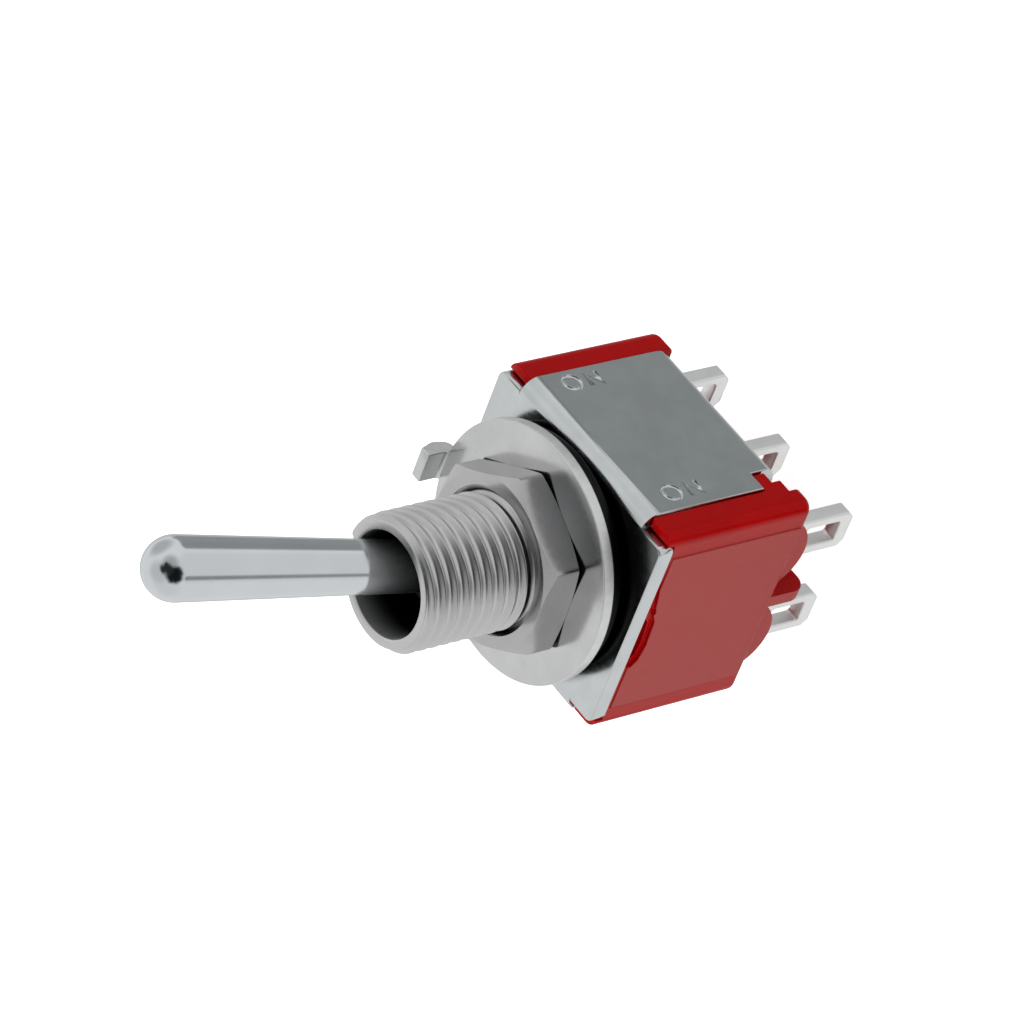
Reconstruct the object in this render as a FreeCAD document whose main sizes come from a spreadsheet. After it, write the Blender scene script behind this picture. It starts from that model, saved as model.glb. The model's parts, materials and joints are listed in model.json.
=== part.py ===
import FreeCAD, Part
import math
import os
import Sketcher

# Panel toggle switch, in millimetres. The origin is on the bushing axis at the outer face of the
# frame plate. +Z points out of the panel, +X along the three terminals of a row, +Y across the rows.

os.makedirs("parts", exist_ok=True)
doc = FreeCAD.newDocument("PanelToggleSwitch")

# Driving dimensions
sizes = {
    "sheetThickness": 0.8,        # the frame's sheet
    "frameLength": 12.5,          # front plate along X
    "frameWidth": 11.73,          # over both flanges
    "wingWidth": 10.3,            # front plate beside the flanges
    "wingCorner": 0.35,
    "flangeLength": 9.36,
    "flangeDepth": 6.82,          # plate face to the flange shoulders
    "foldRadius": 0.05,           # inside of each fold
    "reliefWidth": 0.12,
    "reliefDepth": 0.2,
    "tabShort": 1.03,             # how far a tab stops short of one end of its flange
    "tabDepth": 8.42,             # plate face to the folded tab's back
    "tabReach": 2.0,              # how far a tab folds in over the case
    "seatGap": 0.05,              # frame sheet to case channel
    "caseLength": 12.5,
    "caseWidth": 11.5,
    "caseDepth": 8.71,            # plate face to the case back
    "caseCorner": 0.6,
    "earDepth": 0.45,             # plate face to the ears beside the plate's ends
    "caseBackRound": 0.35,
    "panelStep": 0.07,            # the end faces' raised panels
    "panelWidth": 8.95,
    "panelDrop": 0.14,            # groove between the plate and each raised panel
    "ledgeClear": 0.62,           # recess past a tab's short end
    "stepReach": 0.3,             # shallow step past the flange end
    "stepDepth": 8.05,
    "cavityLength": 10.5,
    "cavityWidth": 8.1,
    "floorDepth": 6.76,           # plate face to the cavity floor
    "dividerThickness": 0.8,
    "dividerDepth": 4.95,         # plate face to the top of the divider
    "ridgeRadius": 2.1,           # rounded moulding round each terminal row
    "ridgeHeight": 1.05,
    "ridgeLength": 11.7,
    "barrierThickness": 0.65,     # rib between the terminal rows
    "barrierHeight": 1.85,
    "barrierCorner": 0.8,
    "threadDiameter": 6.3,        # over the crests of a 1/4-40 thread
    "pitchDiameter": 5.9,         # of that thread, where bushing and nut meet
    "threadStart": 0.1,           # nut's outer face to the free thread
    "bushingLength": 8.93,
    "bushingBore": 4.9,
    "bushingChamfer": 0.33,
    "mouthChamfer": 0.15,
    "spigotDiameter": 5.5,
    "stakeFlare": 0.3,            # rim of the spigot spread into the plate
    "keywayWidth": 0.85,
    "keywayDepth": 0.42,
    "pivotHeight": 4.6,
    "pivotClearance": 0.05,
    "trunnionReach": 2.55,        # pivot pin's half length
    "trunnionEndGap": 0.07,
    "pinDiameter": 0.9,
    "leverLean": 15.5,            # degrees each side of upright
    "tipRadius": 1.475,
    "tipReach": 13.65,            # pivot to the centre of the tip
    "neckRadius": 1.13,
    "stemDiameter": 1.6,
    "ballFoot": 1.35,             # pivot to the lower end of the ball
    "skirtFoot": 2.4,             # pivot to where the skirt below it meets the stem
    "stemReach": 8.3,
    "carrierLength": 2.6,
    "carrierWidth": 7.4,
    "carrierTop": 6.15,           # pivot to the carrier's top
    "carrierHeight": 2.85,
    "carrierCorner": 0.4,
    "plungerDiameter": 1.2,
    "plungerClearance": 0.03,
    "plungerReach": 9.65,         # pivot to the plunger's tip
    "plungerHeight": 1.95,
    "plungerDome": 1.0,           # radius of the plunger's domed tip
    "plungerBoreDepth": 2.3,
    "springCoil": 1.1,            # outer diameter of a plunger spring
    "springWire": 0.18,
    "springTurns": 3,
    "nutWidth": 7.94,
    "nutHeight": 1.75,
    "nutTurn": 32,
    "nutCornerRadius": 4.0,       # circle where the corner chamfers start
    "nutSink": 0.65,
    "ringDiameter": 12.0,
    "ringThickness": 0.58,
    "ringBoreGap": 0.07,
    "ringKeyGap": 0.05,
    "lugWidth": 1.6,              # bent tab of the locating ring
    "lugThickness": 0.78,
    "lugRise": 1.05,
    "lugInset": 0.04,
    "washerDiameter": 11.2,
    "washerThickness": 0.42,
    "washerHeight": 1.0,          # over the twisted teeth
    "washerBand": 1.35,
    "toothWidth": 1.1,
    "toothTwist": 0.45,
    "toothCount": 10,
    "bladeWidth": 2.02,
    "bladeThickness": 0.76,
    "bladeReach": 12.9,           # plate face to the terminal tips
    "bladeChamfer": 0.35,
    "eyeWidth": 1.1,
    "eyeLength": 1.95,
    "eyeCorner": 0.16,
    "eyeMargin": 0.72,
    "terminalPitch": 4.84,
    "rowSpacing": 4.92,
    "footLength": 1.65,           # inward foot of an end terminal
    "rockerPivotDepth": 5.6,      # plate face to the rocker's pivot line
    "rockerThickness": 0.4,
    "rockerArm": 4.5,
    "rockerWidth": 2.2,
    "rockerRise": 8,              # degrees that each arm rises
    "rockerSwing": 5,             # degrees each side of level
    "rockerPivotRadius": 0.3,
    "rockerPivotGap": 0.06,
    "saddleDrop": 0.13,           # pivot line to the top of a centre terminal
    "contactDiameter": 1.1,
    "contactGap": 0.04,
    "contactX": 4.15,
}
dim = doc.addObject("Spreadsheet::Sheet", "dim")
for row, (alias, number) in enumerate(sizes.items(), 1):
    dim.set(f"A{row}", alias)
    dim.set(f"B{row}", str(number))
    dim.setAlias(f"B{row}", alias)
doc.recompute()


def value(expression):
    """The number that an expression over the sheet gives."""
    return float(dim.evalExpression(expression))


def bind(thing, field, expression):
    thing.setExpression(field, expression)


def newBody(label, placement=None):
    body = doc.addObject("PartDesign::Body", label)
    body.Label = label
    if placement:
        body.Placement = placement
    return body


def newSketch(body, plane, offset="0"):
    """A sketch on one of the body's own planes, moved along that plane's normal."""
    sketch = body.newObject("Sketcher::SketchObject", f"{body.Label}Sketch")
    support = [item for item in body.Origin.OriginFeatures if item.Role == plane][0]
    sketch.AttachmentSupport = [(support, "")]
    sketch.MapMode = "FlatFace"
    if offset != "0":
        bind(sketch, "AttachmentOffset.Base.z", offset)
    return sketch


def holdPoint(sketch, geometry, point, place):
    """Ties a point of the sketch to the origin by two bound distances."""
    for kind, expression in zip(("DistanceX", "DistanceY"), place):
        constraint = Sketcher.Constraint(kind, -1, 1, geometry, point, value(expression))
        bind(sketch, f"Constraints[{sketch.addConstraint(constraint)}]", expression)


def outline(sketch, corners):
    """A closed outline. A corner is (x, y), or (x, y, centreX, centreY, turn) where an arc starts.

    turn is 1 for an arc that runs anticlockwise to the next corner and -1 for a clockwise one.
    """
    spots = [FreeCAD.Vector(value(corner[0]), value(corner[1]), 0) for corner in corners]
    starts = []
    ends = []
    for index, corner in enumerate(corners):
        here = spots[index]
        there = spots[(index + 1) % len(corners)]
        if len(corner) == 2:
            edge = sketch.addGeometry(Part.LineSegment(here, there))
            starts.append((edge, 1))
            ends.append((edge, 2))
            continue
        middle = FreeCAD.Vector(value(corner[2]), value(corner[3]), 0)
        first, last = (here, there) if corner[4] > 0 else (there, here)
        angles = [math.atan2(spot.y - middle.y, spot.x - middle.x) for spot in (first, last)]
        if angles[1] <= angles[0]:
            angles[1] += 2 * math.pi
        circle = Part.Circle(middle, FreeCAD.Vector(0, 0, 1), (here - middle).Length)
        edge = sketch.addGeometry(Part.ArcOfCircle(circle, angles[0], angles[1]))
        starts.append((edge, 1 if corner[4] > 0 else 2))
        ends.append((edge, 2 if corner[4] > 0 else 1))
        chord = there - here
        kind, centre = ("DistanceX", corner[2]) if abs(chord.y) > abs(chord.x) else ("DistanceY", corner[3])
        constraint = Sketcher.Constraint(kind, -1, 1, edge, 3, value(centre))
        bind(sketch, f"Constraints[{sketch.addConstraint(constraint)}]", centre)
    for index, corner in enumerate(corners):
        sketch.addConstraint(Sketcher.Constraint("Coincident", *ends[index - 1], *starts[index]))
        holdPoint(sketch, *starts[index], corner[:2])


def rectangle(sketch, left, low, right, high):
    outline(sketch, [(left, low), (right, low), (right, high), (left, high)])


def roundedRectangle(sketch, halfLength, halfWidth, radius, middle=("0", "0")):
    """A rectangle about a middle point whose corners are arcs."""
    turns = [(1, -1), (1, 1), (-1, 1), (-1, -1)]
    corners = []
    for alongX, alongY in turns:
        centreX = f"{middle[0]} + {alongX} * ({halfLength} - {radius})"
        centreY = f"{middle[1]} + {alongY} * ({halfWidth} - {radius})"
        edgeX = f"{middle[0]} + {alongX} * ({halfLength})"
        edgeY = f"{middle[1]} + {alongY} * ({halfWidth})"
        if alongX == -alongY:
            corners += [(centreX, edgeY, centreX, centreY, 1), (edgeX, centreY)]
        else:
            corners += [(edgeX, centreY, centreX, centreY, 1), (centreX, edgeY)]
    outline(sketch, corners)


def circle(sketch, middle, radius):
    spot = FreeCAD.Vector(value(middle[0]), value(middle[1]), 0)
    edge = sketch.addGeometry(Part.Circle(spot, FreeCAD.Vector(0, 0, 1), value(radius)))
    holdPoint(sketch, edge, 3, middle)
    constraint = Sketcher.Constraint("Radius", edge, value(radius))
    bind(sketch, f"Constraints[{sketch.addConstraint(constraint)}]", radius)


def extrude(body, kind, sketch, length, bothSides=False, reverse=False):
    """A Pad or a Pocket of a sketch. It has to change the body's volume the right way."""
    doc.recompute()
    before = body.Shape.Volume if body.Tip else 0
    feature = body.newObject(f"PartDesign::{kind}", f"{body.Label}{kind}")
    feature.Profile = sketch
    bind(feature, "Length", length)
    feature.Midplane = bothSides
    feature.Reversed = reverse
    doc.recompute()
    grown = body.Shape.Volume - before
    if (grown <= 0) == (kind == "Pad"):
        raise ValueError(f"{feature.Label} changed the volume by {grown:.4f}")
    return feature


def turn(body, kind, sketch):
    """A Revolution or a Groove of a sketch about its vertical axis."""
    doc.recompute()
    before = body.Shape.Volume if body.Tip else 0
    feature = body.newObject(f"PartDesign::{kind}", f"{body.Label}{kind}")
    feature.Profile = sketch
    feature.ReferenceAxis = (sketch, ["V_Axis"])
    feature.Angle = 360
    doc.recompute()
    grown = body.Shape.Volume - before
    if (grown <= 0) == (kind == "Revolution"):
        raise ValueError(f"{feature.Label} changed the volume by {grown:.4f}")
    return feature


def edgesAt(shape, test):
    """Names of the edges whose middle point and direction pass a test."""
    names = []
    for index, edge in enumerate(shape.Edges, 1):
        if test(edge):
            names.append(f"Edge{index}")
    return names


# Frame: one sheet folded to a U, with a tab at the end of each flange folded over the case back
def buildFrame():
    body = newBody("frame")
    half = "dim.frameWidth / 2"
    fold = "(dim.foldRadius + dim.sheetThickness)"
    foldY = f"({half} - {fold})"
    inside = f"({half} - dim.sheetThickness)"
    section = newSketch(body, "YZ_Plane")
    outline(section, [
        (half, "-dim.flangeDepth"),
        (half, f"-{fold}", foldY, f"-{fold}", 1),
        (foldY, "0"),
        (f"-{foldY}", "0", f"-{foldY}", f"-{fold}", 1),
        (f"-({half})", f"-{fold}"),
        (f"-({half})", "-dim.flangeDepth"),
        (f"-{inside}", "-dim.flangeDepth"),
        (f"-{inside}", f"-{fold}", f"-{foldY}", f"-{fold}", -1),
        (f"-{foldY}", "-dim.sheetThickness"),
        (foldY, "-dim.sheetThickness", foldY, f"-{fold}", -1),
        (inside, f"-{fold}"),
        (inside, "-dim.flangeDepth"),
    ])
    extrude(body, "Pad", section, "dim.flangeLength", bothSides=True)
    plate = newSketch(body, "XY_Plane")
    roundedRectangle(plate, "dim.frameLength / 2", "dim.wingWidth / 2", "dim.wingCorner")
    extrude(body, "Pad", plate, "dim.sheetThickness", reverse=True)
    relief = newSketch(body, "XY_Plane")
    for alongX in (1, -1):
        for alongY in (1, -1):
            near = f"{alongX} * (dim.flangeLength / 2)"
            far = f"{alongX} * (dim.flangeLength / 2 + dim.reliefWidth)"
            low = f"{alongY} * (dim.wingWidth / 2 - dim.reliefDepth)"
            high = f"{alongY} * (dim.wingWidth / 2 + dim.reliefDepth)"
            outline(relief, [(near, low), (far, high), (near, high)])
    extrude(body, "Pocket", relief, "dim.sheetThickness")
    tabZ = f"-(dim.tabDepth - {fold})"
    for side in (1, -1):
        tab = newSketch(body, "YZ_Plane", f"{side} * (dim.flangeLength / 2 - dim.tabShort)")
        outer = f"{side} * {half}"
        inner = f"{side} * {inside}"
        bend = f"{side} * {foldY}"
        reach = f"{side} * ({half} - dim.tabReach)"
        innerZ = "-(dim.tabDepth - dim.sheetThickness)"
        outline(tab, [
            (inner, "-dim.flangeDepth"),
            (outer, "-dim.flangeDepth"),
            (outer, tabZ, bend, tabZ, -side),
            (bend, "-dim.tabDepth"),
            (reach, "-dim.tabDepth"),
            (reach, innerZ),
            (bend, innerZ, bend, tabZ, side),
            (inner, tabZ),
        ])
        extrude(body, "Pad", tab, "dim.flangeLength - dim.tabShort", reverse=side > 0)
    hole = newSketch(body, "XZ_Plane")
    outline(hole, [
        ("0", "0"),
        ("dim.spigotDiameter / 2", "0"),
        ("dim.spigotDiameter / 2", "-dim.sheetThickness + dim.stakeFlare"),
        ("dim.spigotDiameter / 2 + dim.stakeFlare", "-dim.sheetThickness"),
        ("0", "-dim.sheetThickness"),
    ])
    turn(body, "Groove", hole)
    return body


# Case: moulded cup that opens towards the frame plate, with two contact chambers
def buildCase():
    body = newBody("case")
    back = "-dim.caseDepth"
    ears = "-dim.earDepth"
    block = newSketch(body, "XY_Plane", back)
    roundedRectangle(block, "dim.caseLength / 2 - dim.panelStep", "dim.caseWidth / 2", "dim.caseCorner")
    extrude(body, "Pad", block, "dim.caseDepth - dim.earDepth")
    moulded = body.Tip
    backEdges = edgesAt(body.Shape, lambda edge: edge.BoundBox.ZMax < value(back) + 0.01)
    rounding = body.newObject("PartDesign::Fillet", "caseBackFillet")
    rounding.Base = (moulded, backEdges)
    bind(rounding, "Radius", "dim.caseBackRound")
    doc.recompute()
    panel = newSketch(body, "XY_Plane", f"{back} + dim.caseBackRound")
    rectangle(panel, "-dim.caseLength / 2", "-dim.panelWidth / 2", "dim.caseLength / 2", "dim.panelWidth / 2")
    extrude(body, "Pad", panel, "dim.caseDepth - dim.caseBackRound - dim.sheetThickness - dim.panelDrop")

    # rounded ridge along each terminal row, and the barrier rib between the rows
    ridgeFoot = "sqrt(dim.ridgeRadius ^ 2 - (dim.ridgeRadius - dim.ridgeHeight) ^ 2)"
    for side in (1, -1):
        ridge = newSketch(body, "YZ_Plane")
        middle = f"{side} * dim.rowSpacing / 2"
        crown = "-dim.caseDepth - dim.ridgeHeight + dim.ridgeRadius"
        outline(ridge, [
            (f"{middle} - {ridgeFoot}", back, middle, crown, 1),
            (f"{middle} + {ridgeFoot}", back),
            (f"{middle} + {ridgeFoot}", f"{back} + dim.caseBackRound"),
            (f"{middle} - {ridgeFoot}", f"{back} + dim.caseBackRound"),
        ])
        extrude(body, "Pad", ridge, "dim.ridgeLength", bothSides=True)
    barrier = newSketch(body, "XZ_Plane")
    tail = "-(dim.caseDepth + dim.barrierHeight)"
    end = "dim.caseLength / 2"
    round = "dim.barrierCorner"
    outline(barrier, [
        (f"-{end}", f"{back} + dim.caseBackRound"),
        (f"-{end}", f"{tail} + {round}", f"-{end} + {round}", f"{tail} + {round}", 1),
        (f"-{end} + {round}", tail),
        (f"{end} - {round}", tail, f"{end} - {round}", f"{tail} + {round}", 1),
        (end, f"{tail} + {round}"),
        (end, f"{back} + dim.caseBackRound"),
    ])
    extrude(body, "Pad", barrier, "dim.barrierThickness", bothSides=True)

    # seat for the plate between the four ears
    top = "-dim.sheetThickness"
    seat = newSketch(body, "XY_Plane", ears)
    seatHalf = "(dim.wingWidth / 2 + dim.seatGap)"
    rectangle(seat, "-dim.caseLength", f"-{seatHalf}", "dim.caseLength", seatHalf)
    extrude(body, "Pocket", seat, "dim.sheetThickness - dim.earDepth")

    # channels for the frame's flanges and tabs, with a recess and a step at a tab's short end
    inside = "(dim.frameWidth / 2 - dim.sheetThickness - dim.seatGap)"
    flangeEnd = "(dim.flangeLength / 2 + dim.seatGap)"
    tabEnd = "(dim.flangeLength / 2 - dim.tabShort + dim.seatGap)"
    flange = newSketch(body, "XY_Plane", ears)
    tabs = newSketch(body, "XY_Plane", back)
    ledge = newSketch(body, "XY_Plane", back)
    step = newSketch(body, "XY_Plane", back)
    for side in (1, -1):
        wall = f"{side} * {inside}"
        outside = f"{side} * dim.frameWidth"
        far = f"-{side} * {flangeEnd}"
        tabSeat = f"{side} * (dim.frameWidth / 2 - dim.tabReach - dim.seatGap)"
        rectangle(flange, f"-{flangeEnd}", wall, flangeEnd, outside)
        rectangle(tabs, far, wall, f"{side} * {tabEnd}", outside)
        rectangle(ledge, far, tabSeat, f"{side} * ({tabEnd} + dim.ledgeClear)", outside)
        rectangle(step, "0", tabSeat, f"{side} * ({flangeEnd} + dim.stepReach)", outside)
    extrude(body, "Pocket", flange, "dim.flangeDepth + dim.seatGap - dim.earDepth")
    extrude(body, "Pocket", tabs, "dim.caseDepth - dim.sheetThickness", reverse=True)
    ledgeDepth = "dim.caseDepth - dim.tabDepth + dim.sheetThickness + dim.seatGap"
    extrude(body, "Pocket", ledge, ledgeDepth, reverse=True)
    extrude(body, "Pocket", step, "dim.caseDepth - dim.stepDepth", reverse=True)

    # cavity, split by a low divider between the two poles
    cavity = newSketch(body, "XY_Plane", top)
    rectangle(cavity, "-dim.cavityLength / 2", "-dim.cavityWidth / 2", "dim.cavityLength / 2", "dim.cavityWidth / 2")
    extrude(body, "Pocket", cavity, "dim.dividerDepth - dim.sheetThickness")
    chambers = newSketch(body, "XY_Plane", top)
    for side in (1, -1):
        near = f"{side} * dim.dividerThickness / 2"
        far = f"{side} * dim.cavityWidth / 2"
        rectangle(chambers, "-dim.cavityLength / 2", near, "dim.cavityLength / 2", far)
    extrude(body, "Pocket", chambers, "dim.floorDepth - dim.sheetThickness")
    slots = newSketch(body, "XY_Plane", "-dim.floorDepth")
    for column in (-1, 0, 1):
        for side in (1, -1):
            middleX = f"{column} * dim.terminalPitch"
            middleY = f"{side} * dim.rowSpacing / 2"
            rectangle(
                slots,
                f"{middleX} - dim.bladeThickness / 2",
                f"{middleY} - dim.bladeWidth / 2",
                f"{middleX} + dim.bladeThickness / 2",
                f"{middleY} + dim.bladeWidth / 2",
            )
    extrude(body, "Pocket", slots, "dim.caseDepth + dim.barrierHeight - dim.floorDepth")

    # chipped front edge of one end face, a long shallow flake with a deeper break inside it
    flakes = {0.2: [(3.3, 0), (2.2, 0.24), (1.55, 0.36), (1.2, 0.5), (1.1, 0.4), (0.6, 0.66), (-0.85, 0.72),
                    (-1.65, 0.6), (-2, 0.3), (-1.95, 0)],
              0.45: [(1, 0), (0.5, 0.42), (-0.7, 0.55), (-1.5, 0.45), (-1.75, 0)]}
    for depth, points in flakes.items():
        flake = newSketch(body, "YZ_Plane", "dim.caseLength / 2")
        outline(flake, [(f"{across}", f"{top} - {down}") for across, down in points])
        extrude(body, "Pocket", flake, f"{depth}")
    return body


# Bushing: turned, threaded outside, with a keyway and inner slots for the lever's trunnions
def buildBushing():
    body = newBody("bushing")
    profile = newSketch(body, "XZ_Plane")
    bore = "dim.bushingBore / 2"
    crest = "dim.threadDiameter / 2"
    spigot = "dim.spigotDiameter / 2"
    pitch = "dim.pitchDiameter / 2"
    neck = "dim.washerHeight + dim.ringThickness + dim.nutHeight + dim.threadStart"
    outline(profile, [
        (bore, "-dim.sheetThickness"),
        (f"{spigot} + dim.stakeFlare", "-dim.sheetThickness"),
        (spigot, "-dim.sheetThickness + dim.stakeFlare"),
        (spigot, "0"),
        (pitch, "0"),
        (pitch, neck),
        (crest, neck),
        (crest, "dim.bushingLength - dim.bushingChamfer"),
        (f"{crest} - dim.bushingChamfer", "dim.bushingLength"),
        (f"{bore} + dim.mouthChamfer", "dim.bushingLength"),
        (bore, "dim.bushingLength - dim.mouthChamfer"),
    ])
    turn(body, "Revolution", profile)
    keyway = newSketch(body, "XY_Plane")
    rectangle(keyway, "-dim.threadDiameter", "-dim.keywayWidth / 2",
              "-(dim.threadDiameter / 2 - dim.keywayDepth)", "dim.keywayWidth / 2")
    extrude(body, "Pocket", keyway, "dim.bushingLength", reverse=True)
    slots = newSketch(body, "XZ_Plane")
    slotHalf = "(dim.pinDiameter / 2 + dim.pivotClearance)"
    outline(slots, [
        (f"-{slotHalf}", "-dim.sheetThickness"),
        (slotHalf, "-dim.sheetThickness"),
        (slotHalf, "dim.pivotHeight", "0", "dim.pivotHeight", 1),
        (f"-{slotHalf}", "dim.pivotHeight"),
    ])
    extrude(body, "Pocket", slots, "2 * (dim.trunnionReach + dim.trunnionEndGap)", bothSides=True)
    return body


# Hex nut with chamfered corners and a countersunk thread
def buildNut():
    seat = value("dim.washerHeight + dim.ringThickness")
    turned = FreeCAD.Rotation(FreeCAD.Vector(0, 0, 1), value("dim.nutTurn"))
    body = newBody("hex_nut", FreeCAD.Placement(FreeCAD.Vector(0, 0, seat), turned))
    hexagon = newSketch(body, "XY_Plane")
    corner = "dim.nutWidth / sqrt(3)"
    outline(hexagon, [(f"{corner} * cos({60 * step}deg)", f"{corner} * sin({60 * step}deg)") for step in range(6)])
    extrude(body, "Pad", hexagon, "dim.nutHeight")
    cut = newSketch(body, "XZ_Plane")
    drop = f"({corner} - dim.nutCornerRadius + 1) * tan(30deg)"
    outline(cut, [
        ("dim.nutCornerRadius", "dim.nutHeight"),
        (f"{corner} + 1", f"dim.nutHeight - {drop}"),
        (f"{corner} + 1", "dim.nutHeight"),
    ])
    turn(body, "Groove", cut)
    lowCut = newSketch(body, "XZ_Plane")
    outline(lowCut, [
        ("dim.nutCornerRadius", "0"),
        (f"{corner} + 1", "0"),
        (f"{corner} + 1", drop),
    ])
    turn(body, "Groove", lowCut)
    bore = newSketch(body, "XZ_Plane")
    pitch = "dim.pitchDiameter / 2"
    outline(bore, [
        ("0", "0"),
        (f"{pitch} + dim.nutSink / 2", "0"),
        (pitch, "dim.nutSink / 2"),
        (pitch, "dim.nutHeight - dim.nutSink"),
        (f"{pitch} + dim.nutSink", "dim.nutHeight"),
        ("0", "dim.nutHeight"),
    ])
    turn(body, "Groove", bore)
    return body


# Locating ring: flat ring with a key in the bushing's keyway and one lug bent towards the panel
def buildRing():
    body = newBody("locating_ring", FreeCAD.Placement(FreeCAD.Vector(0, 0, value("dim.washerHeight")),
                                                      FreeCAD.Rotation()))
    ring = newSketch(body, "XY_Plane")
    bore = "(dim.threadDiameter / 2 + dim.ringBoreGap)"
    circle(ring, ("0", "0"), "dim.ringDiameter / 2")
    circle(ring, ("0", "0"), bore)
    extrude(body, "Pad", ring, "dim.ringThickness")
    key = newSketch(body, "XY_Plane")
    keyHalf = "(dim.keywayWidth / 2 - dim.ringKeyGap)"
    keyTip = "-(dim.threadDiameter / 2 - dim.keywayDepth + dim.ringKeyGap)"
    rectangle(key, f"-{bore} - 0.3", f"-{keyHalf}", keyTip, keyHalf)
    extrude(body, "Pad", key, "dim.ringThickness")
    lug = newSketch(body, "XZ_Plane")
    face = "-(dim.ringDiameter / 2 + dim.lugInset)"
    outer = f"{face} - dim.lugThickness"
    bend = "dim.lugThickness * 0.7"
    outline(lug, [
        ("-(dim.ringDiameter / 2 - 0.3)", "0"),
        ("-(dim.ringDiameter / 2 - 0.3)", "dim.ringThickness"),
        (face, "dim.ringThickness"),
        (face, "dim.ringThickness + dim.lugRise"),
        (outer, "dim.ringThickness + dim.lugRise"),
        (outer, bend, f"{outer} + {bend}", bend, 1),
        (f"{outer} + {bend}", "0"),
    ])
    extrude(body, "Pad", lug, "dim.lugWidth", bothSides=True)
    return body


# Lock washer with twisted inner teeth, between the frame plate and the locating ring
def buildLockWasher():
    body = newBody("lock_washer")
    band = newSketch(body, "XY_Plane", "(dim.washerHeight - dim.washerThickness) / 2")
    circle(band, ("0", "0"), "dim.washerDiameter / 2")
    circle(band, ("0", "0"), "dim.washerDiameter / 2 - dim.washerBand")
    extrude(body, "Pad", band, "dim.washerThickness")
    start = "(dim.threadDiameter / 2 + dim.ringBoreGap)"
    tooth = newSketch(body, "YZ_Plane", start)
    halfTooth = "dim.toothWidth / 2"
    outline(tooth, [
        (f"-{halfTooth}", "0"),
        (halfTooth, "dim.toothTwist"),
        (halfTooth, "dim.washerHeight"),
        (f"-{halfTooth}", "dim.washerHeight - dim.toothTwist"),
    ])
    length = f"dim.washerDiameter / 2 - dim.washerBand + 0.25 - {start}"
    feature = extrude(body, "Pad", tooth, length)
    pattern = body.newObject("PartDesign::PolarPattern", "lockWasherTeeth")
    pattern.Originals = [feature]
    pattern.Axis = (body.Origin.OriginFeatures[2], [""])
    bind(pattern, "Occurrences", "dim.toothCount")
    body.Tip = pattern
    doc.recompute()
    return body


# The lever and what swings with it are drawn upright about the pivot and then leaned over
def leaned(across="0", along="0"):
    pivot = FreeCAD.Vector(0, 0, value("dim.pivotHeight"))
    lean = FreeCAD.Rotation(FreeCAD.Vector(0, 1, 0), -value("dim.leverLean"))
    aside = FreeCAD.Placement(FreeCAD.Vector(0, value(across), value(along)), FreeCAD.Rotation())
    return FreeCAD.Placement(pivot, lean).multiply(aside)


def buildLever():
    body = newBody("lever", leaned())
    ball = "(dim.bushingBore / 2 - dim.pivotClearance)"
    stem = "dim.stemDiameter / 2"
    profile = newSketch(body, "XZ_Plane")
    outline(profile, [
        ("0", "-dim.stemReach"),
        (f"{stem} - 0.15", "-dim.stemReach"),
        (stem, "-dim.stemReach + 0.15"),
        (stem, "-dim.skirtFoot"),
        (f"sqrt({ball} ^ 2 - dim.ballFoot ^ 2)", "-dim.ballFoot", "0", "0", 1),
        ("dim.neckRadius", f"sqrt({ball} ^ 2 - dim.neckRadius ^ 2)"),
        ("dim.tipRadius", "dim.tipReach", "0", "dim.tipReach", 1),
        ("0", "dim.tipReach + dim.tipRadius"),
    ])
    turn(body, "Revolution", profile)
    hole = newSketch(body, "XZ_Plane")
    circle(hole, ("0", "0"), "dim.pinDiameter / 2")
    extrude(body, "Pocket", hole, "dim.bushingBore", bothSides=True)
    return body


def buildPivotPin():
    body = newBody("pivot_pin", leaned())
    profile = newSketch(body, "XY_Plane")
    radius = "dim.pinDiameter / 2"
    outline(profile, [
        ("0", "-dim.trunnionReach"),
        (radius, "-dim.trunnionReach"),
        (radius, "dim.trunnionReach"),
        ("0", "dim.trunnionReach"),
    ])
    turn(body, "Revolution", profile)
    return body


# Plunger carrier: moulded block on the lever's stem, with a blind bore for each pole's plunger
def buildCarrier():
    body = newBody("plunger_carrier", leaned())
    low = "-(dim.carrierTop + dim.carrierHeight)"
    block = newSketch(body, "XY_Plane", low)
    roundedRectangle(block, "dim.carrierLength / 2", "dim.carrierWidth / 2", "dim.carrierCorner")
    extrude(body, "Pad", block, "dim.carrierHeight")
    stem = newSketch(body, "XY_Plane", "-dim.carrierTop")
    circle(stem, ("0", "0"), "dim.stemDiameter / 2")
    extrude(body, "Pocket", stem, "dim.stemReach - dim.carrierTop")
    bores = newSketch(body, "XY_Plane", low)
    for side in (1, -1):
        circle(bores, ("0", f"{side} * dim.rowSpacing / 2"), "dim.plungerDiameter / 2 + dim.plungerClearance")
    extrude(body, "Pocket", bores, "dim.plungerBoreDepth", reverse=True)
    waist = newSketch(body, "XZ_Plane")
    for side in (1, -1):
        edge = f"{side} * dim.carrierLength / 2"
        outline(waist, [
            (edge, "-dim.carrierTop"),
            (f"{side} * (dim.carrierLength / 2 - 0.35)", "-dim.carrierTop"),
            (edge, "-dim.carrierTop - 0.8"),
        ])
    extrude(body, "Pocket", waist, "dim.carrierWidth", bothSides=True)
    return body


def buildPlunger(number, side):
    body = newBody(f"plunger_{number}", leaned(f"{side} * dim.rowSpacing / 2"))
    profile = newSketch(body, "XZ_Plane")
    radius = "dim.plungerDiameter / 2"
    top = "-(dim.plungerReach - dim.plungerHeight)"
    outline(profile, [
        ("0", "-dim.plungerReach", "0", "-dim.plungerReach + dim.plungerDome", 1),
        (radius, f"-dim.plungerReach + dim.plungerDome - sqrt(dim.plungerDome ^ 2 - ({radius}) ^ 2)"),
        (radius, top),
        ("0", top),
    ])
    turn(body, "Revolution", profile)
    return body


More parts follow.
